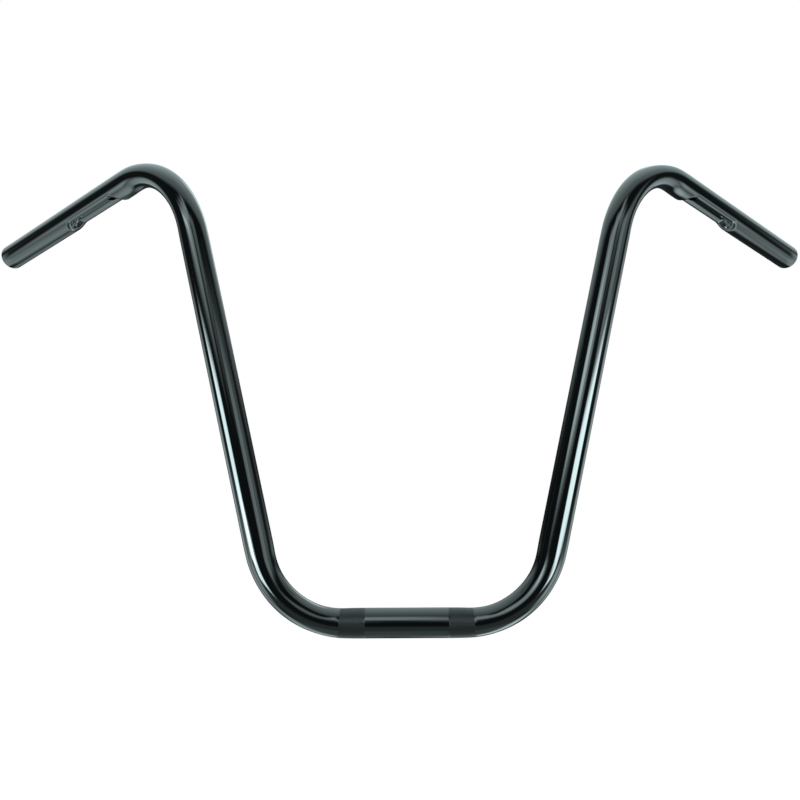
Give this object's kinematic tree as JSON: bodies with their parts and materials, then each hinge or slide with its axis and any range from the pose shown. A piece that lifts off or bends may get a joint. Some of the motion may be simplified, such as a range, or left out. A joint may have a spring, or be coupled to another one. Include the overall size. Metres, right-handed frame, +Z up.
{
  "type": "ape hanger handlebar",
  "caption": "Tall motorbike handlebar bent from a single round tube, with a knurled clamp section, splayed risers and swept-back grips with wiring slots.",
  "frame": {"origin": "middle of the clamp section, on the tube's axis", "axes": "+X along the clamp section to the right of the picture, +Z up in the plane of the two risers, +Y towards the rider, the way the grips sweep"},
  "size_m": [0.8698, 0.2288, 0.428],
  "materials": {
    "gloss_black_tube": "gloss"
  },
  "bodies": {
    "root": {"handlebar_tube": "gloss_black_tube"}
  },
  "joints": []
}
